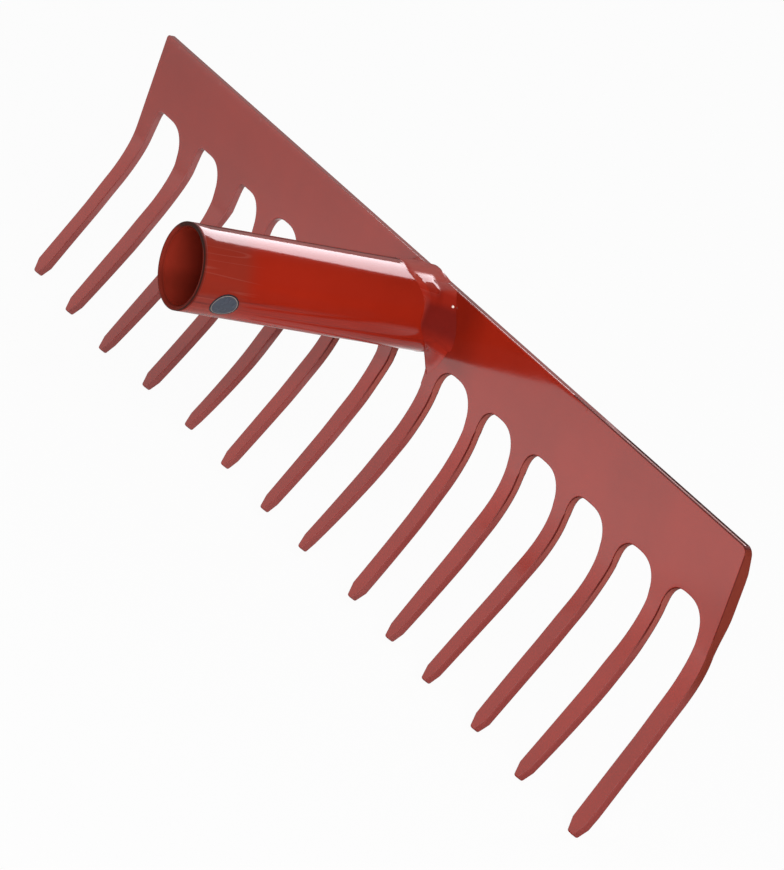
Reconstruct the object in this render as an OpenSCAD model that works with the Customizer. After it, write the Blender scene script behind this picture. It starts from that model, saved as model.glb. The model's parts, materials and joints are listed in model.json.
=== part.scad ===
// Head of a garden rake: a blade of bent sheet steel with a row of tines,
// and a short tube welded square to its middle, which takes the handle.
// Millimetres. The origin is the middle of the tube's open mouth. +Y runs
// along the tube to the blade, X along the blade, +Z up from the points.

/* [Blade] */
// Number of tines
tine_count = 14; // [6:1:18]
// Distance from the middle of one tine to the middle of the next
tine_pitch = 31; // [26:0.5:38]
// Thickness of the sheet
sheet_t = 2.5; // [1.5:0.1:4]
// Height of the band above the gaps
band_h = 23; // [18:0.5:32]
// Distance from the middle of an end tine out to the end of the blade
end_margin = 4.5; // [3.5:0.5:9]
// Radius of the band's two upper corners
corner_r = 3; // [1:0.5:8]

/* [Tines] */
// Width of a tine where the gap's round top meets it
root_w = 7; // [5:0.5:10]
// Width of a tine just above its point
tip_w = 5.2; // [4:0.1:7]
// Height from the points up to the tops of the gaps, before the extra lengths
tine_h = 71; // [60:1:95]
// Height of the tapered point
point_h = 4; // [2:0.5:8]
// Width of the flat at the end of the point
point_w = 2; // [1:0.1:3]
// Height from the start of the bend up to the tops of the gaps
bend_start = 10; // [4:0.5:14]
// Radius of the bend on the tube's side
bend_r = 46; // [30:1:60]
// Angle of the bend, which brings the points forward to the tube's side
bend_angle = 25; // [10:1:32]
// Sideways set of each point, from the first tine to the last
tine_set = [0, -2, -3, -1, 1, -0.5, 0.5, -1.5, 3.5, 0.5, -3, -0.5, 0.5, 5];
// Extra height of each tine, from the first tine to the last
tine_extra = [-3.5, -1.5, 0, -1.5, -2, -1, 0, 0, 0, 1, 2, 2, 3, 3.5];

/* [Socket tube] */
// Outer diameter of the tube
tube_d = 28; // [22:0.5:34]
// Wall of the tube
tube_wall = 1.5; // [1:0.1:3]
// Length of the tube, from its mouth to the blade's face
tube_length = 90; // [60:1:140]
// Height of the tube's axis above the tops of the gaps
tube_rise = 11; // [8:0.5:14]

/* [Weld] */
// Width of the fillet on the blade's face
weld_leg = 6; // [4:0.5:8]
// Least thickness of the bead
weld_t = 0.8; // [0.5:0.1:1.4]
// Length of the bead along the tube
weld_reach = 12; // [9:0.5:20]

/* [Label] */
// Diameter of the round label
label_d = 10; // [6:0.5:14]
// Thickness of the label
label_t = 0.2; // [0.1:0.1:0.5]
// Distance from the tube's mouth to the middle of the label
label_y = 12; // [8:0.5:40]
// Turn of the label round the tube, from the top toward +X
label_turn = 117; // [0:1:180]

/* [Hidden] */
$fn = 96;
// Flats that the bend's arc is made of
bend_steps = 12;
// Length by which a cut runs past what it cuts
cut_over = 1;

steel_red = [0.63, 0.15, 0.09];
weld_red = [0.55, 0.12, 0.08];
label_blue = [0.22, 0.29, 0.34];

tube_r = tube_d / 2;
bore_r = tube_r - tube_wall;
blade_w = (tine_count - 1) * tine_pitch + 2 * end_margin;
gap_r = (tine_pitch - root_w) / 2;
gap_z = -tube_rise;
root_z = gap_z - gap_r;
top_z = gap_z + band_h;
point_z = gap_z - tine_h;
bend_z = gap_z - bend_start;
bend_end_z = bend_z - bend_r * sin(bend_angle);
straight_l = (bend_end_z - point_z + max(tine_extra)) / cos(bend_angle) + sheet_t;
// Depth that holds the sheet and its bent tines
sheet_depth = 2 * (bend_r + straight_l);

function tine_x(i) = (i - (tine_count - 1) / 2) * tine_pitch;
function end_x(i) = tine_x(i) + tine_set[i % len(tine_set)];
function end_z(i) = point_z - tine_extra[i % len(tine_extra)];
// What an end tine has more on its outer side than half the root's width
function outer_extra(i, end_i) = i == end_i ? end_margin - root_w / 2 : 0;

// A point of the sheet's end view, at radius r and angle a of the bend
function bend_point(r, a) = [tube_length - bend_r + r * cos(a), bend_z - r * sin(a)];
function bend_line(r) = [for (k = [0 : bend_steps]) bend_point(r, bend_angle * k / bend_steps)];
function end_point(r) = bend_point(r, bend_angle) - straight_l * [sin(bend_angle), cos(bend_angle)];

// The bent sheet from its end, with Y to the right and Z up
module sheet_side() {
    back_r = bend_r + sheet_t;
    front_line = bend_line(bend_r);
    polygon(concat(
        [[tube_length, top_z], [tube_length + sheet_t, top_z]],
        bend_line(back_r),
        [end_point(back_r), end_point(bend_r)],
        [for (k = [bend_steps : -1 : 0]) front_line[k]]
    ));
}

// The band over the gaps, from the front, with its rounded upper corners
module band_front() {
    half_w = blade_w / 2;
    band_full_h = top_z - root_z;
    difference() {
        union() {
            translate([-half_w, root_z])
                square([blade_w, band_full_h - corner_r]);
            translate([corner_r - half_w, root_z])
                square([blade_w - 2 * corner_r, band_full_h]);
            for (side = [-1, 1])
                translate([side * (half_w - corner_r), top_z - corner_r])
                    circle(r = corner_r);
        }
        for (i = [0 : tine_count - 2])
            translate([tine_x(i) + tine_pitch / 2, root_z])
                circle(r = gap_r);
    }
}

// One tine from the front, from the gaps' tops to its blunt point
module tine_front(i) {
    root_x = tine_x(i);
    low_extra = outer_extra(i, 0);
    high_extra = outer_extra(i, tine_count - 1);
    polygon([
        [root_x - root_w / 4, gap_z],
        [root_x - root_w / 2 - low_extra, root_z],
        [end_x(i) - tip_w / 2 - low_extra, end_z(i) + point_h],
        [end_x(i) - point_w / 2 - low_extra / 2, end_z(i)],
        [end_x(i) + point_w / 2 + high_extra / 2, end_z(i)],
        [end_x(i) + tip_w / 2 + high_extra, end_z(i) + point_h],
        [root_x + root_w / 2 + high_extra, root_z],
        [root_x + root_w / 4, gap_z]
    ]);
}

module blade_front() {
    band_front();
    for (i = [0 : tine_count - 1])
        tine_front(i);
}

// Stamped from one sheet and bent: its side view crossed with its front view
module blade() {
    color(steel_red)
        intersection() {
            rotate([90, 0, 90])
                linear_extrude(height = 2 * blade_w, center = true)
                    sheet_side();
            translate([0, tube_length, 0])
                rotate([90, 0, 0])
                    linear_extrude(height = sheet_depth, center = true)
                        blade_front();
        }
}

module socket_tube() {
    color(steel_red)
        rotate([-90, 0, 0])
            difference() {
                cylinder(r = tube_r, h = tube_length);
                translate([0, 0, -cut_over])
                    cylinder(r = bore_r, h = tube_length + 2 * cut_over);
            }
}

// Hollow fillet round the tube's end, with r outward and its length upward
module fillet_section() {
    difference() {
        translate([tube_r, 0])
            square(weld_leg);
        translate([tube_r + weld_leg, weld_leg])
            circle(r = weld_leg - weld_t);
    }
}

// The fillet lies on the band's face. A thin sleeve follows it up the tube,
// and weld metal, which slopes to the sheet's back, closes the tube's end
// where it stands past the band.
module weld_bead() {
    color(weld_red) {
        intersection() {
            translate([0, tube_length, 0])
                rotate([90, 0, 0])
                    rotate_extrude()
                        fillet_section();
            translate([0, tube_length, 0])
                rotate([90, 0, 0])
                    linear_extrude(height = weld_reach)
                        band_front();
        }
        translate([0, tube_length, 0])
            rotate([90, 0, 0])
                difference() {
                    cylinder(r = tube_r + weld_t, h = weld_reach);
                    translate([0, 0, -cut_over])
                        cylinder(r = tube_r, h = weld_reach + 2 * cut_over);
                }
        translate([0, tube_length, 0])
            rotate([-90, 0, 0])
                difference() {
                    cylinder(r1 = tube_r + weld_t, r2 = bore_r, h = sheet_t);
                    mirror([0, 1, 0])
                        translate([0, 0, -cut_over])
                            linear_extrude(height = sheet_t + 2 * cut_over)
                                blade_front();
                }
    }
}

// A round of thin film that follows the tube's wall
module round_label() {
    color(label_blue)
        translate([0, label_y, 0])
            intersection() {
                rotate([-90, 0, 0])
                    difference() {
                        cylinder(r = tube_r + label_t, h = 2 * label_d, center = true);
                        cylinder(r = tube_r, h = 3 * label_d, center = true);
                    }
                rotate([0, label_turn, 0])
                    cylinder(d = label_d, h = tube_d);
            }
}

blade();
socket_tube();
weld_bead();
round_label();
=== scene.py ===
"""Looks of a garden rake's head: a bent blade with a row of tines, the socket tube
that takes the handle, the weld that joins them, and a small round label.

Metres. The origin is the middle of the tube's open mouth. +Y runs along the tube
to the blade, X along the blade, and +Z up from the points of the tines."""

import json
import math

import bmesh
import bpy
from bpy.props import FloatProperty, FloatVectorProperty, PointerProperty
from mathutils import Matrix, Vector


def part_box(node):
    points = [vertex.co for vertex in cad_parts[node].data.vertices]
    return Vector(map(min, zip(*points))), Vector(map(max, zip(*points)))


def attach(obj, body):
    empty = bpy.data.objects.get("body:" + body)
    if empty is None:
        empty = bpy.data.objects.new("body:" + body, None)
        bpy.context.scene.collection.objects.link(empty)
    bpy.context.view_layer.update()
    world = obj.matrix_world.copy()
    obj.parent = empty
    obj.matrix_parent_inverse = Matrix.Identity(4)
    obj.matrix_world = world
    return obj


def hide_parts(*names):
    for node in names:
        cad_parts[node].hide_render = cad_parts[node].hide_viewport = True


bl_info = {
    "name": "Garden rake head",
    "version": (1, 0, 0),
    "blender": (4, 5, 0),
    "location": "3D View > Sidebar > Rake",
    "description": "Models the head of a garden rake round its packed frame",
    "category": "Object",
}

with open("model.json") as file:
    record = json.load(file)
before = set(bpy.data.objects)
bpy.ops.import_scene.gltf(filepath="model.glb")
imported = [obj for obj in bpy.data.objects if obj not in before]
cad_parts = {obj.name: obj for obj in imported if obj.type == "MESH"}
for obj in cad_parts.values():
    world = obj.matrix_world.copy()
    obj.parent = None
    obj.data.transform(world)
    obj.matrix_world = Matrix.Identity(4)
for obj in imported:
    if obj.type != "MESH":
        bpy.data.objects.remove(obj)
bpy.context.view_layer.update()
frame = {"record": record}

MM = 0.001

# Lengths under this count as nothing
tiny = 1e-6

# What the frame says: the tube, the band of the blade and the tips' level
blade_low, blade_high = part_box("blade")
tube_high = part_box("socket_tube")[1]
label_low, label_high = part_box("round_label")
handle_socket = next(m for m in frame["record"]["mounts"] if m["name"] == "handle_socket")
tube_r = tube_high.x
bore_r = handle_socket["dims"]["r_mm"] * MM
plate_y = tube_high.y
sheet_t = blade_high.y - plate_y
top_z = blade_high.z
floor_z = blade_low.z
label_y = (label_low.y + label_high.y) / 2
label_turn = math.radians(117)

# The blade's sizes that its box doesn't give
tine_count = 14
tine_pitch = 31 * MM
gap_r = 12 * MM
band_h = 23 * MM
left_margin = 4.5 * MM
right_margin = 5.5 * MM
corner_r = 3 * MM
left_corner_r = 1.2 * MM
tine_h = 71 * MM
gap_rise = 11.7 * MM
root_half = tine_pitch / 2 - gap_r
tip_half = 2.7 * MM
point_half = 1.1 * MM
point_h = 4.2 * MM
bend_start = 10 * MM
bend_r = 46 * MM
bend_angle = math.radians(25)

gap_z = top_z - band_h
root_z = gap_z - gap_r
bend_z = gap_z - bend_start
middle_y = plate_y + sheet_t / 2
middle_r = bend_r + sheet_t / 2
arc_length = middle_r * bend_angle

# Down the tine, what its root has more fades out over this length. It is longer on
# the first tines, whose roots are broad
root_fade = 12 * MM
first_fade = 18 * MM
broad_tines = 3

# Steps of a tine down its bend and from there to its point, and rows of the band
bend_steps = 12
straight_steps = 9
band_rows = 14

# The bulge below the bend: its middle, its reach up and down, and its depth
sag_z = -38 * MM
sag_reach = 16 * MM
sag_depth = 0.5 * MM

# The burr on the right end of the band: its reach, where it sets in along the blade
# and over what length, and the heights over which it fades to the top and starts
burr_reach = 2.0 * MM
burr_x = 204 * MM
burr_run = 2 * MM
burr_top_fade = 9 * MM
burr_low_z = -24 * MM
burr_low_fade = 15 * MM

# The kinds of gap top: how square the left and the right shoulder is, where 2 is
# round, and how far the left wall leans inwards
first_gap = (7.0, 2.35, 1.8 * MM)
plain_gap = (3.0, 2.35, 0.0)
middle_gap = (3.0, 3.8, 0.0)
last_gap = (2.5, 2.25, 0.0)

# Marks on faces of the blade: the rounded edges on the right part of the band's
# top, the right end, and the flat of the top edge
rounded_mark = 0.9
end_mark = 2.0
top_mark = 3.0

# No two tines are alike. From the first to the last, in millimetres: how far the
# point is set sideways, how far the middle bows out, the extra length, the extra
# width on each side at the point and halfway, and what the root has more on its
# left and on its right. A program fitted all but the lengths to the photo, and some
# of the values were then changed
point_set = [0.1, -1.7, -3.0, -0.9, 1.1, -0.6, 0.1, -1.9, 3.4, 0.5, -3.0, -0.4, -0.3, 4.6]
side_bow = [-0.1, 0.2, 0.2, 0.9, 2.1, 0.3, 0.6, 1.1, 0.8, 0.3, -0.1, -0.4, 0.9, -0.4]
extra_h = [-3.4, -1.5, -0.3, -1.6, -2.0, -1.3, -0.4, 0.0, 0.0, 0.8, 2.0, 2.0, 3.0, 3.5]
extra_w = [0.3, 0.4, 0.0, 0.3, -0.4, 0.0, -0.1, -0.4, 0.4, 0.1, 0.1, 0.4, 0.3, 0.8]
middle_w = [-0.3, 0.6, 0.7, 0.2, 0.4, 0.2, 0.3, 0.5, 0.1, 0.6, 0.2, 0.3, 0.7, -0.3]
root_left = [-0.1, 0.0, 0.7, 1.3, 1.0, -0.6, -0.7, -0.4, -0.6, 0.7, 0.8, 0.8, -0.2, -0.2]
root_right = [0.6, 2.6, 3.7, -0.7, 0.5, -0.2, 1.7, 0.9, 0.4, 0.1, -0.4, 0.8, 1.0, -0.7]

# How far the top of each gap lies under the drawing's, from the first to the last
gap_drop = [0.2, 0.1, 0.0, -0.6, 0.0, 0.0, -0.4, -0.2, 0.1, 0.6, 0.8, 1.1, 1.1]


def deselect_all():
    """Leave nothing selected, so that an operator acts on the new piece alone."""
    if bpy.context.mode != "OBJECT":
        bpy.ops.object.mode_set(mode="OBJECT")
    bpy.ops.object.select_all(action="DESELECT")


def activate(piece):
    deselect_all()
    piece.select_set(True)
    bpy.context.view_layer.objects.active = piece


def edit(piece):
    activate(piece)
    bpy.ops.object.mode_set(mode="EDIT")


def pick_verts(piece, wanted):
    """Select the vertices whose place passes the test, in vertex mode."""
    bpy.ops.mesh.select_mode(type="VERT")
    bpy.ops.mesh.select_all(action="DESELECT")
    mesh = bmesh.from_edit_mesh(piece.data)
    for vert in mesh.verts:
        vert.select_set(wanted(vert.co))
    mesh.select_flush_mode()
    bmesh.update_edit_mesh(piece.data)


def pick_edges(piece, wanted):
    """Select the edges whose two ends pass the test, in edge mode."""
    bpy.ops.mesh.select_mode(type="EDGE")
    bpy.ops.mesh.select_all(action="DESELECT")
    mesh = bmesh.from_edit_mesh(piece.data)
    for edge in mesh.edges:
        edge.select_set(wanted(edge.verts[0].co, edge.verts[1].co))
    bmesh.update_edit_mesh(piece.data)


def place_verts(piece, placed):
    """Move every vertex to where the function puts it."""
    mesh = bmesh.from_edit_mesh(piece.data)
    for vert in mesh.verts:
        vert.co = placed(vert.co.copy())
    bmesh.update_edit_mesh(piece.data)


def object_mode():
    bpy.ops.object.mode_set(mode="OBJECT")


def apply_transform(piece):
    activate(piece)
    bpy.ops.object.transform_apply(location=True, rotation=True, scale=True)


def apply_modifier(piece, kind, **values):
    """Add a modifier with these values and apply it."""
    activate(piece)
    modifier = piece.modifiers.new(kind.title(), kind)
    for name, value in values.items():
        setattr(modifier, name, value)
    bpy.ops.object.modifier_apply(modifier=modifier.name)


def copy_of(piece):
    """A copy with its own mesh."""
    twin = piece.copy()
    twin.data = piece.data.copy()
    bpy.context.scene.collection.objects.link(twin)
    return twin


def join(pieces, name):
    activate(pieces[0])
    for piece in pieces[1:]:
        piece.select_set(True)
    bpy.ops.object.join()
    pieces[0].name = name
    return pieces[0]


def merge_doubles(piece, distance=0.01 * MM):
    edit(piece)
    bpy.ops.mesh.select_all(action="SELECT")
    bpy.ops.mesh.remove_doubles(threshold=distance)
    bpy.ops.mesh.normals_make_consistent(inside=False)
    object_mode()


def finish_piece(piece, node, material):
    """Dress a finished piece, hang it on the root body, and hide the frame's part that it stands for."""
    piece.data.materials.clear()
    piece.data.materials.append(material)
    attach(piece, "root")
    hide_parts(node)
    return piece


def smooth_step(x):
    x = max(0.0, min(1.0, x))
    return x * x * (3 - 2 * x)


# Nodes


def new_material(name):
    material = bpy.data.materials.new(name)
    material.use_nodes = True
    tree = material.node_tree
    return material, tree, tree.nodes["Principled BSDF"]


def new_node(tree, kind):
    return tree.nodes.new("ShaderNode" + kind)


def place_on(tree, kind="Object"):
    """Where a point is, in the coordinates of this kind."""
    return new_node(tree, "TexCoord").outputs[kind]


def feed(tree, value, socket):
    """Give an input a link from another node, or a plain value."""
    if isinstance(value, bpy.types.NodeSocket):
        tree.links.new(value, socket)
    else:
        socket.default_value = value


def axes(tree, kind="Object"):
    """The three coordinates of this kind on their own."""
    split = new_node(tree, "SeparateXYZ")
    tree.links.new(place_on(tree, kind), split.inputs[0])
    return split.outputs["X"], split.outputs["Y"], split.outputs["Z"]


def object_noise(tree, scale, detail=2.0, stretch=(1, 1, 1)):
    """Noise on Object coordinates, drawn out by the stretch."""
    mapping = new_node(tree, "Mapping")
    mapping.inputs["Scale"].default_value = stretch
    noise = new_node(tree, "TexNoise")
    noise.inputs["Scale"].default_value = scale
    noise.inputs["Detail"].default_value = detail
    tree.links.new(place_on(tree), mapping.inputs["Vector"])
    tree.links.new(mapping.outputs["Vector"], noise.inputs["Vector"])
    return noise.outputs["Fac"]


def ramp(tree, factor, stops):
    """A colour ramp with (position, colour) stops."""
    node = new_node(tree, "ValToRGB")
    elements = node.color_ramp.elements
    while len(elements) < len(stops):
        elements.new(1.0)
    for element, (position, colour) in zip(elements, stops):
        element.position = position
        element.color = (*colour, 1.0)
    tree.links.new(factor, node.inputs["Fac"])
    return node.outputs["Color"]


def remap(tree, value, low, high, from_low=0.0, from_high=1.0, kind="LINEAR"):
    """A value carried from one range into another. An end of a range may be a node's."""
    node = new_node(tree, "MapRange")
    node.interpolation_type = kind
    ends = {"Value": value, "From Min": from_low, "From Max": from_high, "To Min": low, "To Max": high}
    for name, end in ends.items():
        feed(tree, end, node.inputs[name])
    return node.outputs["Result"]


def fade(tree, value, start, end, low=0.0, high=1.0):
    """A soft change from one strength to another between two values."""
    return remap(tree, value, low, high, start, end, "SMOOTHSTEP")


def window(tree, value, start, full, full_end, end):
    """Softly 1 from full to full_end, and 0 outside start and end."""
    return multiply(tree, fade(tree, value, start, full), fade(tree, value, full_end, end, 1.0, 0.0))


def combine(tree, operation, a, b):
    """One Math node on a node's value and on another or a number."""
    node = new_node(tree, "Math")
    node.operation = operation
    feed(tree, a, node.inputs[0])
    feed(tree, b, node.inputs[1])
    return node.outputs[0]


def multiply(tree, a, b):
    return combine(tree, "MULTIPLY", a, b)


def largest(tree, a, b):
    return combine(tree, "MAXIMUM", a, b)


def add(tree, a, b):
    return combine(tree, "ADD", a, b)


def tint(colour, share):
    """The colour made darker or brighter by a share."""
    return tuple(min(1.0, c * share) for c in colour)


def bumps(tree, shader, layers):
    """Chain bump nodes, each from a height with its depth in metres."""
    normal = None
    for height, depth in layers:
        bump = new_node(tree, "Bump")
        bump.inputs["Strength"].default_value = 1.0
        bump.inputs["Distance"].default_value = depth
        tree.links.new(height, bump.inputs["Height"])
        if normal is not None:
            tree.links.new(normal, bump.inputs["Normal"])
        normal = bump.outputs["Normal"]
    tree.links.new(normal, shader.inputs["Normal"])


def thin_lines(tree, stretch, middle, share):
    """Thin soft lines where drawn-out noise passes a value."""
    none = (0.0, 0.0, 0.0)
    noise = object_noise(tree, 1.0, 1.0, stretch)
    return ramp(tree, noise, [(middle - 0.02, none), (middle, (share,) * 3), (middle + 0.02, none)])


def distance_from(tree, point):
    away = new_node(tree, "VectorMath")
    away.operation = "DISTANCE"
    away.inputs[1].default_value = point
    tree.links.new(place_on(tree), away.inputs[0])
    return away.outputs["Value"]


def off_axis(tree):
    """How far a point is from the tube's axis."""
    flat = new_node(tree, "Mapping")
    flat.inputs["Scale"].default_value = (1, 0, 1)
    length = new_node(tree, "VectorMath")
    length.operation = "LENGTH"
    tree.links.new(place_on(tree), flat.inputs["Vector"])
    tree.links.new(flat.outputs["Vector"], length.inputs[0])
    return length.outputs["Value"]


def scaled(tree, colour, share):
    """The colour scaled by a share from another node."""
    node = new_node(tree, "VectorMath")
    node.operation = "SCALE"
    tree.links.new(colour, node.inputs[0])
    tree.links.new(share, node.inputs["Scale"])
    return node.outputs["Vector"]


def shade(tree, colour, change):
    """The colour made brighter where the change is above 0, and darker where it is below."""
    return scaled(tree, colour, add(tree, change, 1.0))


def blend(tree, share, first, second, kind="RGBA"):
    """From the first colour or value to the second. Either may be plain or a node's."""
    node = new_node(tree, "Mix")
    node.data_type = kind
    tree.links.new(share, node.inputs["Factor"])
    for colour, socket in ((first, node.inputs["A"]), (second, node.inputs["B"])):
        feed(tree, (*colour, 1.0) if isinstance(colour, tuple) else colour, socket)
    return node.outputs["Result"]


def mix_shaders(tree, share, first, second):
    mix = new_node(tree, "MixShader")
    tree.links.new(share, mix.inputs["Fac"])
    tree.links.new(first.outputs[0], mix.inputs[1])
    tree.links.new(second.outputs[0], mix.inputs[2])
    return mix


# Materials


# Roughness of the enamel where it is softer, and where it is dull
soft_roughness = 0.24
dull_roughness = 0.8


def sprayed(tree, colour):
    """The enamel's colour with its light clouds."""
    cloud = object_noise(tree, 28, 3.0)
    return ramp(tree, cloud, [
        (0.30, tint(colour, 0.90)),
        (0.55, colour),
        (0.80, tint(colour, 1.10)),
    ])


def gloss(tree, shader, waves, layers, dull=None, soft=None):
    """Glossy enamel with a fine orange-peel surface and broad, shallow waves. Other
    nodes may say where it is softer, and where it is dull."""
    smear = object_noise(tree, 90, 2.0)
    roughness = remap(tree, smear, 0.05, 0.13)
    if soft is not None:
        roughness = blend(tree, soft, roughness, soft_roughness, "FLOAT")
    if dull is not None:
        roughness = blend(tree, dull, roughness, dull_roughness, "FLOAT")
        tree.links.new(remap(tree, dull, 0.5, 0.04), shader.inputs["Specular IOR Level"])
    tree.links.new(roughness, shader.inputs["Roughness"])
    shader.inputs["IOR"].default_value = 1.6
    peel = object_noise(tree, 700, 1.0)
    broad = object_noise(tree, 1.0, 1.0, waves)
    bumps(tree, shader, [(peel, 0.006 * MM), (broad, 0.10 * MM), *layers])


# How far below the tube's axis the band's lean ends, and half the height of its fade
lean_end = 27 * MM
lean_fade = 9 * MM

# The colours of the sheared sides from the bends up: painted shade on their rounded edges and a painted sheen
# on their flats; and the colour of the right end
edge_shade = (0.13, 0.012, 0.008)
side_sheen = (0.40, 0.095, 0.075)
end_side = (0.22, 0.032, 0.018)

# The colours of the top edge: a painted highlight in front, and painted shade at the back
top_highlight = (0.80, 0.36, 0.33)
top_back_shade = (0.06, 0.012, 0.008)


def sheared_colour(tree, sheared, high, settings):
    """The thin enamel of the sheared sides. From the bends up, painted shade darkens their
    rounded edges and a painted sheen lightens their flats, and the right end is darker.
    Lower down, and at the left end, they are plain."""
    marks = remap(tree, sheared, 0, 1, 0, end_mark)
    dark = ramp(tree, marks, [
        (0.485, edge_shade),
        (0.495, side_sheen),
        (0.75, side_sheen),
        (0.95, end_side),
    ])
    return blend(tree, high, settings.side_colour[:], dark)


def blade_enamel(settings):
    """Enamel with a thinner coat on the sheared sides, which from the bends up have painted
    shade on their rounded edges and a painted sheen on their flats. On the right, the top
    edge has a painted highlight in front and painted shade at the back. Painted shade
    darkens the band beside the tube and the lowest parts of the tines, and painted light
    brightens those at the far left. The band's face leans back a touch, as the reflections
    in it show."""
    material, tree, shader = new_material("blade enamel")
    coat = sprayed(tree, settings.enamel_colour)
    x, y, z = axes(tree)
    # Painted light and shade: the lowest parts of the tines are a little darker, and those at the far left a
    # little brighter
    left = fade(tree, x, -190 * MM, -130 * MM, 1.08, 0.92)
    coat = scaled(tree, coat, fade(tree, z, -45 * MM, -25 * MM, left, 1.0))
    # Painted shade: the band is darker beside the tube, where the tube and the weld shade it
    tube_shade = window(tree, x, 10 * MM, 14 * MM, 24 * MM, 42 * MM)
    coat = shade(tree, coat, multiply(tree, tube_shade, fade(tree, z, -14 * MM, -8 * MM, 0.0, -0.27)))
    attribute = new_node(tree, "Attribute")
    attribute.attribute_name = "sheared"
    sheared = attribute.outputs["Fac"]
    high = multiply(tree, fade(tree, x, -110 * MM, -80 * MM), fade(tree, z, -42 * MM, -28 * MM))
    marked = window(tree, sheared, 0.15, 0.35, 2.3, 2.6)
    # Painted shade on the rounded edges of the sheared sides and a painted sheen on their flats, over their
    # thin enamel
    coat = blend(tree, marked, coat, sheared_colour(tree, sheared, high, settings))
    # Painted highlight along the front of the top edge on the right, and painted shade along its back
    on_top = multiply(tree, fade(tree, sheared, 2.4, 2.9), fade(tree, x, 105 * MM, 130 * MM))
    behind = fade(tree, y, plate_y + 0.8 * MM, plate_y + 1.1 * MM)
    coat = blend(tree, on_top, coat, ramp(tree, behind, [(0.0, top_highlight), (1.0, top_back_shade)]))
    tree.links.new(coat, shader.inputs["Base Color"])
    lean = multiply(tree, add(tree, z, lean_end),
                    fade(tree, z, -lean_end - lean_fade, -lean_end + lean_fade, 0.0, -1.0))
    dull = multiply(tree, marked, remap(tree, high, 0.0, 0.7))
    dull = largest(tree, dull, multiply(tree, on_top, behind))
    bend = window(tree, z, -46 * MM, -38 * MM, -28 * MM, -20 * MM)
    gloss(tree, shader, (18, 60, 60), [(lean, settings.lean)], dull, bend)
    return material


# Where the tube's outer skin begins and is whole, off its axis
tube_skin = (13.4 * MM, 13.9 * MM)

# Where the dark at the very mouth of the tube ends
mouth_end = (0.8 * MM, 1.6 * MM)

# The colour of the fine streaks of painted sheen by the mouth
streak_sheen_colour = (0.50, 0.15, 0.12)


def tube_enamel(settings):
    """Enamel that is browner by the mouth, with fine streaks of painted sheen there. It is
    dark on the lip, darker low inside the mouth with painted shade, brighter underneath
    with painted light, and has fine dark lines low on its right side."""
    material, tree, shader = new_material("tube enamel")
    coat = sprayed(tree, settings.enamel_colour)
    x, y, z = axes(tree)
    near = fade(tree, y, 14 * MM, 24 * MM, 1.0, 0.0)
    coat = blend(tree, multiply(tree, near, near), coat, settings.mouth_colour[:])
    outside = fade(tree, x, 1 * MM, 6 * MM)
    # Painted sheen: fine pale streaks along the tube by its mouth, on its right side
    sheen_streaks = thin_lines(tree, (280, 14, 280), 0.54, 0.22)
    sheen_streaks = multiply(tree, sheen_streaks, multiply(tree, near, outside))
    coat = blend(tree, sheen_streaks, coat, streak_sheen_colour)
    rim = largest(tree, fade(tree, off_axis(tree), *tube_skin), fade(tree, z, 8 * MM, 11 * MM))
    lip = multiply(tree, rim, fade(tree, y, 0.3 * MM, 0.8 * MM, 1.0, 0.0))
    coat = blend(tree, lip, coat, settings.lip_colour[:])
    # Painted light: the underside of the tube is brighter, more towards the mouth, as if lit from below
    underside_light = multiply(tree, fade(tree, z, -12 * MM, -6 * MM, 1.0, 0.0),
                         fade(tree, y, 45 * MM, 65 * MM, 0.5, 0.2))
    coat = shade(tree, coat, underside_light)
    mouth = multiply(tree, fade(tree, y, *mouth_end, -0.4, 0.0), fade(tree, x, -8 * MM, -2 * MM, 0.75, 1.0))
    coat = shade(tree, coat, mouth)
    # Painted shade: low inside the bore the enamel is darker, where little light reaches
    inside = multiply(tree, fade(tree, off_axis(tree), *tube_skin, 1.0, 0.0),
                      fade(tree, z, -10 * MM, -3 * MM, -0.45, 0.0))
    coat = shade(tree, coat, inside)
    # Fine dark lines low on the tube's right side
    fine_dark_lines = thin_lines(tree, (420, 4, 420), 0.48, 0.6)
    fine_dark_lines = multiply(tree, fine_dark_lines, window(tree, z, -12 * MM, -10 * MM, -5 * MM, -2 * MM))
    fine_dark_lines = multiply(tree, fine_dark_lines, outside)
    coat = blend(tree, fine_dark_lines, coat, tint(settings.weld_shade_colour, 0.6))
    tree.links.new(coat, shader.inputs["Base Color"])
    lines = object_noise(tree, 1.0, 1.0, (330, 4, 330))
    lines = multiply(tree, lines, fade(tree, z, -9 * MM, -3 * MM, 1.0, 0.1))
    dull = fade(tree, y, *mouth_end, 0.9, 0.0)
    gloss(tree, shader, (60, 14, 60), [(lines, 0.06 * MM)], dull)
    return material


# A painted highlight: a small bright glint on the fillet
glint_place = Vector((16.3, 89.2, 7.25)) * MM
glint_r = 0.5 * MM
glint_colour = (1.0, 0.86, 0.76)


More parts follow.
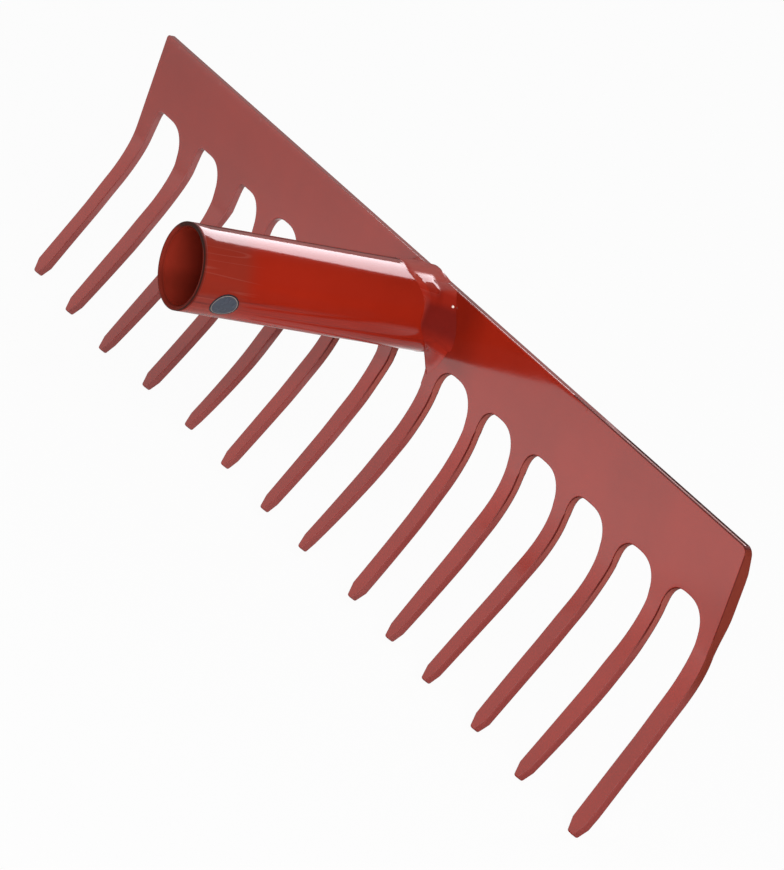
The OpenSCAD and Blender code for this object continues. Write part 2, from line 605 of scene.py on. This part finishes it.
def weld_enamel(settings):
    """Enamel over the weld: glossy where the weld starts, dull on the fillet beside the tube
    and darkened there by painted shade, paler with a painted sheen and wrinkled on top,
    and brighter underneath with painted light. A painted highlight makes a small glint on
    the fillet."""
    material, tree, shader = new_material("weld enamel")
    coat = sprayed(tree, settings.enamel_colour)
    x, y, z = axes(tree)
    # Painted shade: the fillet beside the tube is darkened, where the corner between the tube and the blade
    # lies in shade
    fillet = fade(tree, y, plate_y - 9.5 * MM, plate_y - 7.5 * MM)
    beside = window(tree, z, -6 * MM, 0 * MM, 5 * MM, 8 * MM)
    fillet_shade = multiply(tree, fillet, remap(tree, beside, 0.45, 1.0))
    coat = blend(tree, fillet_shade, coat, settings.weld_shade_colour[:])
    top = fade(tree, z, 8 * MM, 10.5 * MM)
    before = fade(tree, y, plate_y - 14.5 * MM, plate_y - 13.7 * MM, 1.0, 0.0)
    crest = window(tree, y, plate_y - 12.4 * MM, plate_y - 11.7 * MM, plate_y - 5.5 * MM, plate_y - 4.3 * MM)
    crest = multiply(tree, crest, fade(tree, x, 5 * MM, 7 * MM))
    on_top = multiply(tree, top, largest(tree, before, crest))
    start = fade(tree, y, plate_y - 10 * MM, plate_y - 7 * MM, 1.0, 0.0)
    start = multiply(tree, start, fade(tree, z, 7 * MM, 9 * MM, 1.0, 0.0))
    low = fade(tree, z, -9 * MM, -7 * MM, 1.0, 0.0)
    glossy = largest(tree, on_top, largest(tree, start, low))
    dull = remap(tree, glossy, 0.9, 0.0)
    # Painted sheen: the dull top of the weld is paler, where it faces the light
    crown_sheen = multiply(tree, fade(tree, z, 9.5 * MM, 13 * MM),
                     fade(tree, y, plate_y - 14 * MM, plate_y - 12 * MM))
    coat = blend(tree, crown_sheen, coat, settings.crown_sheen_colour[:])
    # Painted light: the weld is brighter underneath, as if lit from below
    coat = scaled(tree, coat, fade(tree, z, -10 * MM, 0, 1.35, 1.0))
    # Painted highlight: a small bright glint on the fillet
    glint = fade(tree, distance_from(tree, glint_place), 0.6 * glint_r, glint_r, 1.0, 0.0)
    coat = blend(tree, glint, coat, glint_colour)
    tree.links.new(coat, shader.inputs["Base Color"])
    wrinkles = object_noise(tree, 420, 3.0, (1.0, 0.45, 1.0))
    gloss(tree, shader, (150, 150, 150), [(multiply(tree, wrinkles, top), 0.2 * MM)], dull)
    return material


# The blade


def tine_x(i):
    return (i - (tine_count - 1) / 2) * tine_pitch


def tine_sides(i):
    """What an end tine has more on its outer side: on the left and on the right."""
    left = left_margin - root_half if i == 0 else 0.0
    right = right_margin - root_half if i == tine_count - 1 else 0.0
    return left, right


def root_widths(i):
    """How far the root of a tine reaches from its middle to both sides."""
    left, right = tine_sides(i)
    return root_half + left + root_left[i] * MM, root_half + right + root_right[i] * MM


def tine_strip(i):
    """One tine with its share of the band, as a flat strip drawn out downwards."""
    left, right = root_widths(i)
    bpy.ops.mesh.primitive_plane_add(size=1, rotation=(math.pi / 2, 0, 0))
    strip = bpy.context.object
    apply_transform(strip)
    edit(strip)
    bpy.ops.mesh.select_all(action="SELECT")
    bpy.ops.transform.resize(value=(left + right, 1, top_z - root_z), center_override=(0, 0, 0))
    strip_x = tine_x(i) + (right - left) / 2
    bpy.ops.transform.translate(value=(strip_x, middle_y, (top_z + root_z) / 2))
    cut_rows(strip)
    pick_edges(strip, lambda a, b: abs(a.z - b.z) < tiny)
    bpy.ops.mesh.subdivide(number_cuts=1)
    lean_down(strip, i)
    object_mode()
    return strip


def cut_rows(piece):
    """Cut the upright edges of the band into equal rows."""
    pick_edges(piece, lambda a, b: abs(a.x - b.x) < tiny and abs(a.z - b.z) > 1e-3)
    bpy.ops.mesh.subdivide(number_cuts=band_rows - 1)


def tine_sections(i):
    """Where each step of the tine ends: its level on the flat sheet, and the places
    of its left and its right flank."""
    drop = tine_h - gap_r + extra_h[i] * MM
    straight = (drop - (bend_start - gap_r) - middle_r * math.sin(bend_angle)) / math.cos(bend_angle)
    straight -= sheet_t / 2 * math.tan(bend_angle)
    whole = arc_length + straight
    root_s = gap_r - bend_start
    point_s = whole - point_h
    levels = [root_s + (arc_length - root_s) * k / bend_steps for k in range(1, bend_steps + 1)]
    levels += [arc_length + (point_s - arc_length) * k / straight_steps for k in range(1, straight_steps + 1)]
    outer_left, outer_right = tine_sides(i)
    fade_length = first_fade if i < broad_tines else root_fade
    sections = []
    for level in levels:
        t = (level - root_s) / (point_s - root_s)
        root_share = max(0.0, 1 - (level - root_s) / fade_length) ** 2
        middle = tine_x(i) + MM * (point_set[i] * t + side_bow[i] * 4 * t * (1 - t))
        half = root_half + (tip_half - root_half + extra_w[i] * MM) * t
        half += middle_w[i] * MM * 4 * t * (1 - t)
        left = middle - half - outer_left - root_left[i] * MM * root_share
        right = middle + half + outer_right * (1 - t / 2) + root_right[i] * MM * root_share
        sections.append((level, left, right))
    middle = tine_x(i) + MM * point_set[i]
    for level, half in ((whole - point_h * 0.12, point_half * 1.25), (whole, point_half * 0.8)):
        sections.append((level, middle - half - outer_left / 2, middle + half + outer_right / 2))
    inside = 0.02 * MM
    return [(s, max(a, blade_low.x + inside), min(b, blade_high.x - inside)) for s, a, b in sections]


def lean_down(strip, i):
    """Extrude the strip's lower edge step by step to the point of the tine."""
    pick_verts(strip, lambda co: co.z < root_z + tiny)
    left, right = root_widths(i)
    level, low_x, high_x = gap_r - bend_start, tine_x(i) - left, tine_x(i) + right
    for new_level, new_low, new_high in tine_sections(i):
        step = ((new_low + new_high - low_x - high_x) / 2, 0, level - new_level)
        bpy.ops.mesh.extrude_region_move(TRANSFORM_OT_translate={"value": step})
        widen = (new_high - new_low) / (high_x - low_x)
        centre = ((new_low + new_high) / 2, middle_y, bend_z - new_level)
        bpy.ops.transform.resize(value=(widen, 1, 1), center_override=centre)
        level, low_x, high_x = new_level, new_low, new_high


def square_up(co, left_power, right_power, lean):
    """The gap's round top with squarer shoulders. The left wall leans inwards."""
    power = left_power if co.x < 0 else right_power
    angle = math.atan2(max(0.0, co.z - root_z), abs(co.x))
    x = math.copysign(gap_r * math.cos(angle) ** (2 / power), co.x)
    rise = math.sin(angle) ** (2 / power)
    x += lean * rise * max(0.0, -x / gap_r)
    return Vector((x, co.y, root_z + gap_rise * rise))


def gap_web(left_power, right_power, lean):
    """The part of the band over one gap: a half round drawn up to the top edge."""
    bpy.ops.mesh.primitive_circle_add(
        vertices=48, radius=gap_r, rotation=(math.pi / 2, 0, 0), location=(0, middle_y, root_z))
    web = bpy.context.object
    apply_transform(web)
    edit(web)
    pick_verts(web, lambda co: co.z < root_z - tiny)
    bpy.ops.mesh.delete(type="VERT")
    place_verts(web, lambda co: square_up(co, left_power, right_power, lean))
    bpy.ops.mesh.select_all(action="SELECT")
    bpy.ops.mesh.extrude_region_move(TRANSFORM_OT_translate={"value": (0, 0, band_h)})
    bpy.ops.transform.resize(value=(1, 1, 0), center_override=(0, middle_y, top_z))
    cut_rows(web)
    object_mode()
    return web


def settle_web(web, k):
    """Move a copy of the web to its gap and fit it between its two tines."""
    low_x = tine_x(k) + root_widths(k)[1]
    high_x = tine_x(k + 1) - root_widths(k + 1)[0]

    def placed(co):
        share = (co.x + gap_r) / (2 * gap_r)
        drop = gap_drop[k] * MM * (1 - (co.x / gap_r) ** 2)
        drop *= min(1.0, (top_z - co.z) / band_h)
        return Vector((low_x + (high_x - low_x) * share, co.y, co.z - drop))

    edit(web)
    place_verts(web, placed)
    object_mode()
    return web


def round_band_corners(blank):
    """Round the two upper corners of the flat blank, the left one less."""
    low_x = min(v.co.x for v in blank.data.vertices if v.co.z > gap_z)
    high_x = max(v.co.x for v in blank.data.vertices if v.co.z > gap_z)
    edit(blank)
    for corner_x, radius in ((low_x, left_corner_r), (high_x, corner_r)):
        pick_verts(blank, lambda co: co.z > top_z - 1e-5 and abs(co.x - corner_x) < 1e-5)
        bpy.ops.mesh.bevel(offset=radius, segments=8, affect="VERTICES")
    object_mode()


def bend_blank(blank):
    """Bend the sheet below the gaps' tops, towards the side of the tube."""
    bpy.context.scene.cursor.location = (0, middle_y, bend_z)
    activate(blank)
    bpy.ops.object.origin_set(type="ORIGIN_CURSOR")
    heights = [v.co.z for v in blank.data.vertices]
    low, span = min(heights), max(heights) - min(heights)
    apply_modifier(
        blank, "SIMPLE_DEFORM", deform_method="BEND", deform_axis="X", angle=-bend_angle,
        limits=((-arc_length - low) / span, -low / span))
    apply_transform(blank)
    edit(blank)
    place_verts(blank, sag)
    object_mode()


def sag(co):
    """The bend bulges a little where the press has let it go, and the band's right
    end is pressed outwards at its back edge."""
    share = max(0.0, 1 - ((co.z - sag_z) / sag_reach) ** 2) ** 2
    burr = 0.0
    if co.y > middle_y:
        burr = burr_reach * smooth_step((top_z - co.z) / burr_top_fade)
        burr *= smooth_step((co.z - burr_low_z) / burr_low_fade)
        burr *= smooth_step((co.x - burr_x) / burr_run)
    return Vector((co.x + burr, co.y - sag_depth * share, co.z))


def mark_sheared(blade):
    """Note on each face how far it faces along the sheet, as the sheared sides of
    the tines and gaps and the ends do: 1 on the flat sides, and less where they are
    rounded. The top's rounded edges, the right end and the top have marks of their own."""
    marks = blade.data.attributes.new("sheared", "FLOAT", "FACE")
    for mark, face in zip(marks.data, blade.data.polygons):
        across = abs(face.normal.x)
        rounded = 0.2 < face.normal.z < 0.98 and face.center.z > top_z - 1 * MM
        on_right = rounded and face.center.x > 95 * MM
        at_end = face.center.x > 205 * MM and face.normal.x > 0.6
        mark.value = across if across < 0.2 else math.sqrt(max(0.0, 1 - face.normal.y ** 2))
        if on_right:
            mark.value = rounded_mark
        if at_end:
            mark.value = end_mark
        if face.normal.z > 0.98 and face.center.z > top_z - 0.1 * MM:
            mark.value = top_mark


def make_blade(settings):
    """Lay out the flat blank, give it its thickness, bend it and round its edges."""
    strips = [tine_strip(i) for i in range(tine_count)]
    gaps = [first_gap] * 3 + [plain_gap] * 3 + [middle_gap] + [plain_gap] * 4 + [last_gap] * 2
    kinds = {gap: gap_web(*gap) for gap in (first_gap, plain_gap, middle_gap, last_gap)}
    webs = [settle_web(copy_of(kinds[gap]), k) for k, gap in enumerate(gaps)]
    for kind in kinds.values():
        bpy.data.objects.remove(kind)
    blank = join(strips + webs, "bent_blade")
    merge_doubles(blank)
    round_band_corners(blank)
    apply_modifier(blank, "SOLIDIFY", thickness=sheet_t, offset=0, use_even_offset=True)
    merge_doubles(blank)
    bend_blank(blank)
    apply_modifier(
        blank, "BEVEL", width=settings.edge_round, segments=3, limit_method="ANGLE",
        angle_limit=math.radians(28), use_clamp_overlap=False)
    activate(blank)
    bpy.ops.object.shade_smooth()
    apply_modifier(blank, "WEIGHTED_NORMAL", keep_sharp=True, weight=50)
    mark_sheared(blank)
    return finish_piece(blank, "blade", blade_enamel(settings))


# The socket tube


tube_rows = 18


def make_tube(settings):
    """A length of steel tube with a rounded lip at its mouth."""
    bpy.ops.mesh.primitive_cylinder_add(
        vertices=128, radius=tube_r, depth=plate_y, end_fill_type="NOTHING",
        rotation=(math.pi / 2, 0, 0), location=(0, plate_y / 2, 0))
    tube = bpy.context.object
    tube.name = "lipped_tube"
    apply_transform(tube)
    edit(tube)
    pick_edges(tube, lambda a, b: abs(a.y - b.y) > 1e-3)
    bpy.ops.mesh.subdivide(number_cuts=tube_rows - 1)
    object_mode()
    apply_modifier(tube, "SOLIDIFY", thickness=tube_r - bore_r, offset=-1, use_even_offset=True)
    edit(tube)
    pick_edges(tube, lambda a, b: a.y + b.y < tiny and a.length + b.length < 2 * bore_r + 1e-5)
    bpy.ops.mesh.bevel(offset=settings.lip_round, segments=6)
    pick_edges(tube, lambda a, b: a.y + b.y < tiny and a.length + b.length > 2 * tube_r - 1e-5)
    bpy.ops.mesh.bevel(offset=0.25 * MM, segments=3)
    object_mode()
    activate(tube)
    bpy.ops.object.shade_smooth_by_angle(angle=math.radians(40))
    return finish_piece(tube, "socket_tube", tube_enamel(settings))


# The weld


# Rings of the weld's skin, and those that close it through the tube's wall
weld_steps = 40
closing_steps = 3


def has_metal(x, z):
    """Whether the flat band has metal here, above the middle gap and below its top."""
    if abs(x) > gap_r:
        return z < top_z
    power = middle_gap[1] if x > 0 else middle_gap[0]
    return root_z + gap_rise * (1 - abs(x / gap_r) ** power) ** (1 / power) < z < top_z


def metal_reach(angle, limit):
    """How far the band's metal goes on from the tube's axis at this angle."""
    reach = 10 * MM
    while reach < limit and has_metal(reach * math.sin(angle), reach * math.cos(angle)):
        reach += 0.1 * MM
    return reach


def bezier(points, s):
    """The point at s on the curve with these four control points."""
    r = 1 - s
    weights = (r**3, 3 * r * r * s, 3 * r * s * s, s**3)
    return sum((point * weight for point, weight in zip(points, weights)), Vector((0, 0, 0)))


def above_bottom(angle):
    """How far the angle is from the tube's bottom, in degrees from 0 to 180."""
    return abs(math.degrees(math.remainder(angle - math.pi, 2 * math.pi)))


def weld_run(low, settings):
    """How far the weld runs up the tube: long on top, short at the middle gap."""
    run = settings.weld_run + 7 * MM * smooth_step((low - 110) / 70)
    return run - 8.3 * MM * smooth_step((95 - low) / 60)


def weld_leg(low, settings):
    """How far the weld lies on the blade: more at the lower sides."""
    return settings.weld_leg + 4.6 * MM * smooth_step((118 - low) / 40)


def weld_swell(angle, low, along):
    """How far the weld's skin swells out: a hump on each shoulder, a fine ridge low
    on the sides, and a gentle unevenness all round."""
    side = 180 - low
    shoulder = smooth_step((side - 14) / 38) * smooth_step((84 - side) / 30)
    hump = 1.35 * shoulder * smooth_step((along + 13.5) / 1.6) * smooth_step((-3 - along) / 3.5)
    ridge_y = -2.5 - 1.6 * (90 - low) / 35
    ridge = 0.3 * smooth_step((low - 52) / 8) * smooth_step((96 - low) / 8)
    ridge *= math.exp(-((along - ridge_y) / 0.35) ** 2)
    uneven = 0.06 * math.sin(5 * angle + 0.5 * along) + 0.03 * math.sin(11 * angle - along)
    return MM * (hump + ridge + uneven)


def weld_point(angle, s, settings):
    """A point of the weld's skin at an angle round the tube, from s = 0 on the tube
    to s = 1 on the blade."""
    low = above_bottom(angle)
    run = weld_run(low, settings)
    toe_r = metal_reach(angle, tube_r + weld_leg(low, settings))
    if low < 75:
        toe_r = max(toe_r - 1.2 * MM, min(toe_r, tube_r))
    leg = max(0.0, toe_r - tube_r)
    over = smooth_step((tube_r + 1.5 * MM - toe_r) / (2 * MM))
    lift = 0.6 * MM * smooth_step(low / 70)
    start = Vector((0, plate_y - run, tube_r + 0.02 * MM))
    fillet = (
        start,
        start + Vector((0, 0.3 * run, 0)),
        Vector((0, plate_y - 0.35 * run, tube_r + 0.45 * leg)),
        Vector((0, plate_y - 0.03 * MM, toe_r)),
    )
    cap = (
        start,
        start + Vector((0, 0.45 * run, 0.2 * lift)),
        Vector((0, plate_y + 0.9 * sheet_t, tube_r + 0.05 * MM + lift)),
        Vector((0, plate_y + 0.85 * sheet_t, toe_r - 0.3 * MM)),
    )
    point = bezier(fillet, s).lerp(bezier(cap, s), over)
    edges = smooth_step(s * 6) * smooth_step((1 - s) * 5)
    point.z += weld_swell(angle, low, (point.y - plate_y) / MM) * edges
    if point.y < plate_y - 0.1 * MM:
        point.z = max(point.z, start.z)
    return Matrix.Rotation(angle, 3, "Y") @ point


def weld_row(angle, row, settings):
    """A point of one of the weld's rings. The first rings draw its skin, and the last ones
    lead back to its start through the tube's wall, so that it is a closed shell."""
    if row <= weld_steps:
        return weld_point(angle, row / weld_steps, settings)
    if row == weld_steps + closing_steps:
        return weld_point(angle, 0.0, settings)
    toe = weld_point(angle, 1.0, settings)
    inner_r = tube_r - 0.4 * MM
    if row == weld_steps + 1:
        inner = Vector((0, plate_y - 0.03 * MM, min(inner_r, math.hypot(toe.x, toe.z))))
    else:
        inner = Vector((0, plate_y - 0.3 * MM, inner_r))
    return Matrix.Rotation(angle, 3, "Y") @ inner


def make_weld(settings):
    """A ring drawn along the tube and out over the blade, then laid as the weld
    lies: a hollow fillet with an uneven skin, which closes the tube's end where
    it stands past the blade."""
    bpy.ops.mesh.primitive_circle_add(
        vertices=180, radius=tube_r, rotation=(math.pi / 2, 0, 0), location=(0, plate_y, 0))
    weld = bpy.context.object
    weld.name = "fillet_weld"
    apply_transform(weld)
    edit(weld)
    bpy.ops.mesh.select_all(action="SELECT")
    for _ in range(weld_steps + closing_steps):
        bpy.ops.mesh.extrude_region_move(TRANSFORM_OT_translate={"value": (0, 1 * MM, 0)})
    rims = (0, weld_steps, weld_steps + closing_steps)
    pick_edges(weld, lambda a, b: abs(a.y - b.y) < tiny and round((a.y - plate_y) / MM) in rims)
    bpy.ops.mesh.mark_sharp()
    place_verts(weld, lambda co: weld_row(
        math.atan2(co.x, co.z) % (2 * math.pi), round((co.y - plate_y) / MM), settings))
    object_mode()
    merge_doubles(weld, 0.001 * MM)
    activate(weld)
    bpy.ops.object.shade_smooth()
    return finish_piece(weld, "weld_bead", weld_enamel(settings))


# The label


# Rings of faces that its disc is made of, and their width
label_rings = 9
label_ring_w = 0.52 * MM


def wrap_label(co):
    """Wrap the flat disc round the tube at its turn."""
    angle = label_turn - co.z / tube_r
    return Vector((co.x * math.sin(angle), co.y, co.x * math.cos(angle)))


def label_film(settings):
    """Dark film with a thin pale ring near its edge."""
    material, tree, shader = new_material("label film")
    away = distance_from(tree, wrap_label(Vector((tube_r, label_y, 0))))
    ring = remap(tree, away, 0, 1, 0, settings.label_r)
    dark = tuple(settings.label_colour)
    colour = ramp(tree, ring, [
        (0.0, dark),
        (0.85, dark),
        (0.87, settings.ring_colour),
        (0.89, settings.ring_colour),
        (0.91, tint(dark, 0.3)),
    ])
    tree.links.new(colour, shader.inputs["Base Color"])
    smear = object_noise(tree, 400, 2.0)
    tree.links.new(remap(tree, smear, 0.18, 0.34), shader.inputs["Roughness"])
    bumps(tree, shader, [(smear, 0.02 * MM)])
    return material


def make_label(settings):
    """A thin disc with a fine rim, laid round the tube near its mouth."""
    bpy.ops.mesh.primitive_circle_add(
        vertices=72, radius=settings.label_r, fill_type="NGON",
        rotation=(0, math.pi / 2, 0), location=(tube_r + 0.02 * MM, label_y, 0))
    label = bpy.context.object
    label.name = "label_disc"
    apply_transform(label)
    edit(label)
    bpy.ops.mesh.select_all(action="SELECT")
    for _ in range(label_rings):
        bpy.ops.mesh.inset(thickness=label_ring_w, use_even_offset=False)
    bpy.ops.mesh.poke()
    place_verts(label, wrap_label)
    object_mode()
    apply_modifier(label, "SOLIDIFY", thickness=0.15 * MM, offset=1)
    merge_doubles(label, 0.001 * MM)
    apply_modifier(
        label, "BEVEL", width=0.05 * MM, segments=2, limit_method="ANGLE", angle_limit=math.radians(50))
    activate(label)
    bpy.ops.object.shade_smooth_by_angle(angle=math.radians(40))
    return finish_piece(label, "round_label", label_film(settings))


class RakeSettings(bpy.types.PropertyGroup):
    """Sizes and colours of the rake head that a user would change."""

    enamel_colour: FloatVectorProperty(
        name="Enamel", description="Colour of the red enamel", subtype="COLOR", size=3,
        min=0, max=1, default=(0.40, 0.021, 0.0075))
    label_colour: FloatVectorProperty(
        name="Label", description="Colour of the label's film", subtype="COLOR", size=3,
        min=0, max=1, default=(0.075, 0.09, 0.12))
    edge_round: FloatProperty(
        name="Edge rounding", description="Radius of the painted edges of the blade",
        subtype="DISTANCE", unit="LENGTH", default=0.4 * MM)
    lip_round: FloatProperty(
        name="Lip rounding", description="Radius of the inner edge of the tube's mouth",
        subtype="DISTANCE", unit="LENGTH", default=1.0 * MM)
    weld_leg: FloatProperty(
        name="Weld leg", description="Width of the weld's fillet on the upper part of the blade",
        subtype="DISTANCE", unit="LENGTH", default=4.3 * MM)
    weld_run: FloatProperty(
        name="Weld run", description="Length of the weld along the side of the tube",
        subtype="DISTANCE", unit="LENGTH", default=9 * MM)
    # Painted shade: this dark colour darkens the weld's fillet beside the tube, and a darker tint of it draws
    # the fine dark lines on the tube
    weld_shade_colour: FloatVectorProperty(
        name="Weld enamel", description="Colour of the enamel over the weld", subtype="COLOR",
        size=3, min=0, max=1, default=(0.19, 0.011, 0.007))
    # Painted sheen: the paler colour on the dull top of the weld
    crown_sheen_colour: FloatVectorProperty(
        name="Weld crown", description="Colour of the enamel on the weld's top", subtype="COLOR",
        size=3, min=0, max=1, default=(0.42, 0.058, 0.040))
    mouth_colour: FloatVectorProperty(
        name="Mouth enamel", description="Colour of the browner enamel by the tube's mouth",
        subtype="COLOR", size=3, min=0, max=1, default=(0.32, 0.030, 0.016))
    lip_colour: FloatVectorProperty(
        name="Lip", description="Colour of the tube's bare lip", subtype="COLOR", size=3,
        min=0, max=1, default=(0.07, 0.022, 0.017))
    side_colour: FloatVectorProperty(
        name="Thin enamel", description="Colour of the thin enamel on the sides of the tines",
        subtype="COLOR", size=3, min=0, max=1, default=(0.33, 0.066, 0.058))
    lean: FloatProperty(
        name="Lean", description="Slope by which the band's face leans back", default=0.034)
    ring_colour: FloatVectorProperty(
        name="Label ring", description="Colour of the thin ring on the label", subtype="COLOR",
        size=3, min=0, max=1, default=(0.42, 0.34, 0.30))
    label_r: FloatProperty(
        name="Label radius", description="Radius of the round label",
        subtype="DISTANCE", unit="LENGTH", default=4.75 * MM)


class RAKE_OT_stage(bpy.types.Operator):
    """Set the camera, the pale floor, the lamps and the world"""

    bl_idname = "garden_rake.stage"
    bl_label = "Stage"

    def execute(self, context):
        set_camera()
        lay_floor()
        set_lamps()
        set_world()
        return {"FINISHED"}


class RAKE_OT_blade(bpy.types.Operator):
    """Model the bent blade with its row of tines"""

    bl_idname = "garden_rake.blade"
    bl_label = "Blade"

    def execute(self, context):
        make_blade(context.scene.rake_head)
        return {"FINISHED"}


class RAKE_OT_tube(bpy.types.Operator):
    """Model the socket tube with its rounded lip"""

    bl_idname = "garden_rake.tube"
    bl_label = "Socket tube"

    def execute(self, context):
        make_tube(context.scene.rake_head)
        return {"FINISHED"}


class RAKE_OT_weld(bpy.types.Operator):
    """Model the fillet weld between the tube and the blade"""

    bl_idname = "garden_rake.weld"
    bl_label = "Weld"

    def execute(self, context):
        make_weld(context.scene.rake_head)
        return {"FINISHED"}


class RAKE_OT_label(bpy.types.Operator):
    """Model the round label on the tube"""

    bl_idname = "garden_rake.label"
    bl_label = "Round label"

    def execute(self, context):
        make_label(context.scene.rake_head)
        return {"FINISHED"}


class RAKE_PT_panel(bpy.types.Panel):
    """Pieces of the rake head and their settings"""

    bl_idname = "RAKE_PT_panel"
    bl_label = "Garden rake head"
    bl_space_type = "VIEW_3D"
    bl_region_type = "UI"
    bl_category = "Rake"

    def draw(self, context):
        settings = context.scene.rake_head
        for name in RakeSettings.__annotations__:
            self.layout.prop(settings, name)
        for operator in operators:
            self.layout.operator(operator.bl_idname)


# The stage


# What the camera sees of the floor: this share is plain white, and the rest is lit
white_share = 0.95

# Where the camera stands, and its right, up and back directions
camera_place = (1.9139, -1.1583, 0.6346)
camera_right = (0.4357, 0.8403, 0.3226)
camera_up = (-0.4083, -0.1349, 0.9028)
camera_lens = 345.4
sensor_width = 36


def set_camera():
    data = bpy.data.cameras.new("photo camera")
    data.sensor_fit = "HORIZONTAL"
    data.sensor_width = sensor_width
    data.lens = camera_lens
    data.clip_start = 0.05
    data.clip_end = 60
    camera = bpy.data.objects.new("photo camera", data)
    right = Vector(camera_right).normalized()
    back = right.cross(Vector(camera_up)).normalized()
    up = back.cross(right)
    camera.matrix_world = Matrix.Translation(camera_place) @ Matrix((right, up, back)).transposed().to_4x4()
    bpy.context.scene.collection.objects.link(camera)
    bpy.context.scene.camera = camera


def lay_floor():
    """A wide pale floor under the points, which is nearly white to the eye. In gloss
    it is bright in front of the rake and on its left, dimmer under the rake and far
    to the left, and dark far back on the left and past the rake's right."""
    bpy.ops.mesh.primitive_plane_add(size=24, location=(0, 0, floor_z))
    floor = bpy.context.object
    floor.name = "floor"
    apply_transform(floor)
    material = bpy.data.materials.new("pale floor")
    material.use_nodes = True
    tree = material.node_tree
    tree.nodes.clear()
    matt = new_node(tree, "BsdfDiffuse")
    matt.inputs["Color"].default_value = (0.9, 0.9, 0.9, 1)
    x, y, _ = axes(tree)
    far_left = multiply(tree, fade(tree, x, -0.55, -0.10, -0.43, 0.0), fade(tree, y, -0.25, -0.12, 0.1, 1.0))
    light = add(tree, far_left, 1.05)
    light = multiply(tree, light, fade(tree, x, -0.08, 0.0, 1.0, 0.75))
    light = multiply(tree, light, fade(tree, x, 0.07, 0.13, 1.0, 0.03))
    under = multiply(tree, fade(tree, x, -0.26, -0.20, 0.0, -0.6), window(tree, y, -0.02, 0.01, 0.12, 0.16))
    far_back = multiply(tree, fade(tree, x, -0.45, -0.30, -0.8, 0.0), fade(tree, y, 0.10, 0.20))
    light = multiply(tree, light, add(tree, under, 1.0))
    light = multiply(tree, light, add(tree, far_back, 1.0))
    shiny = new_node(tree, "Emission")
    tree.links.new(light, shiny.inputs["Strength"])
    white = new_node(tree, "Emission")
    path = new_node(tree, "LightPath")
    in_gloss = mix_shaders(tree, path.outputs["Is Glossy Ray"], matt, shiny)
    seen = multiply(tree, path.outputs["Is Camera Ray"], white_share)
    out = new_node(tree, "OutputMaterial")
    tree.links.new(mix_shaders(tree, seen, in_gloss, white).outputs[0], out.inputs["Surface"])
    floor.data.materials.append(material)


def add_softbox(name, towards, distance, width, length, watts, along=(0, 0, 1)):
    """A soft rectangular lamp that stands in this direction from the tube, faces
    it, and has its length along the other direction."""
    data = bpy.data.lights.new(name, "AREA")
    data.shape = "RECTANGLE"
    data.size = width
    data.size_y = length
    data.energy = watts
    lamp = bpy.data.objects.new(name, data)
    away = Vector(towards).normalized()
    side = Vector(along).cross(away).normalized()
    place = Matrix((side, away.cross(side), away)).transposed().to_4x4()
    lamp.matrix_world = Matrix.Translation(Vector((0, plate_y / 2, 0)) + away * distance) @ place
    bpy.context.scene.collection.objects.link(lamp)
    return lamp


def set_lamps():
    """A large key lamp on the right and weak fills in front and at the rear, none of
    which shows in gloss, and a slanted strip, which draws the streak along the tube."""
    for name, towards, distance, size, watts in (
            ("key softbox", (0.84, -0.36, 0.44), 2.5, 1.0, 36),
            ("front fill", (0.22, -0.93, 0.10), 0.45, 0.3, 0.35),
            ("rear fill", (-0.2, 0.97, 0.12), 2.0, 1.0, 12)):
        lamp = add_softbox(name, towards, distance, size, size, watts)
        lamp.visible_glossy = False
    strip = add_softbox(
        "strip softbox", (-0.452, 0.503, 0.735), 0.4, 0.22, 0.42, 1.85, along=(0.75, 0.66, 0.05))
    strip.data.color = (1.0, 0.93, 0.98)
    strip.visible_diffuse = False


def set_world():
    """A soft room, which is white to the eye. In gloss it is bright on the left and
    in front, dim low at the back and brighter higher up there, and dark on the right."""
    world = bpy.data.worlds.new("studio")
    world.use_nodes = True
    bpy.context.scene.world = world
    tree = world.node_tree
    tree.nodes.clear()
    path = new_node(tree, "LightPath")
    x, y, z = axes(tree, "Generated")
    back = fade(tree, z, 0.10, 0.27, 0.08, 0.55)
    room = multiply(tree, fade(tree, x, -0.75, 0.25, 1.0, 0.03), fade(tree, y, -0.3, 0.4, 1.08, back))
    soft = new_node(tree, "Background")
    soft.inputs["Strength"].default_value = 0.37
    shiny = new_node(tree, "Background")
    tree.links.new(room, shiny.inputs["Strength"])
    white = new_node(tree, "Background")
    white.inputs["Color"].default_value = (1, 1, 1, 1)
    in_gloss = mix_shaders(tree, path.outputs["Is Glossy Ray"], soft, shiny)
    seen = mix_shaders(tree, path.outputs["Is Camera Ray"], in_gloss, white)
    out = new_node(tree, "OutputWorld")
    tree.links.new(seen.outputs[0], out.inputs["Surface"])
    bpy.context.scene.view_settings.view_transform = "Standard"


operators = (RAKE_OT_stage, RAKE_OT_blade, RAKE_OT_tube, RAKE_OT_weld, RAKE_OT_label)
classes = (RakeSettings, *operators, RAKE_PT_panel)


def register():
    for item in classes:
        bpy.utils.register_class(item)
    bpy.types.Scene.rake_head = PointerProperty(type=RakeSettings)


def unregister():
    del bpy.types.Scene.rake_head
    for item in reversed(classes):
        bpy.utils.unregister_class(item)


def main():
    register()
    bpy.ops.garden_rake.stage()
    bpy.ops.garden_rake.blade()
    bpy.ops.garden_rake.tube()
    bpy.ops.garden_rake.weld()
    bpy.ops.garden_rake.label()


if __name__ == "__main__":
    main()
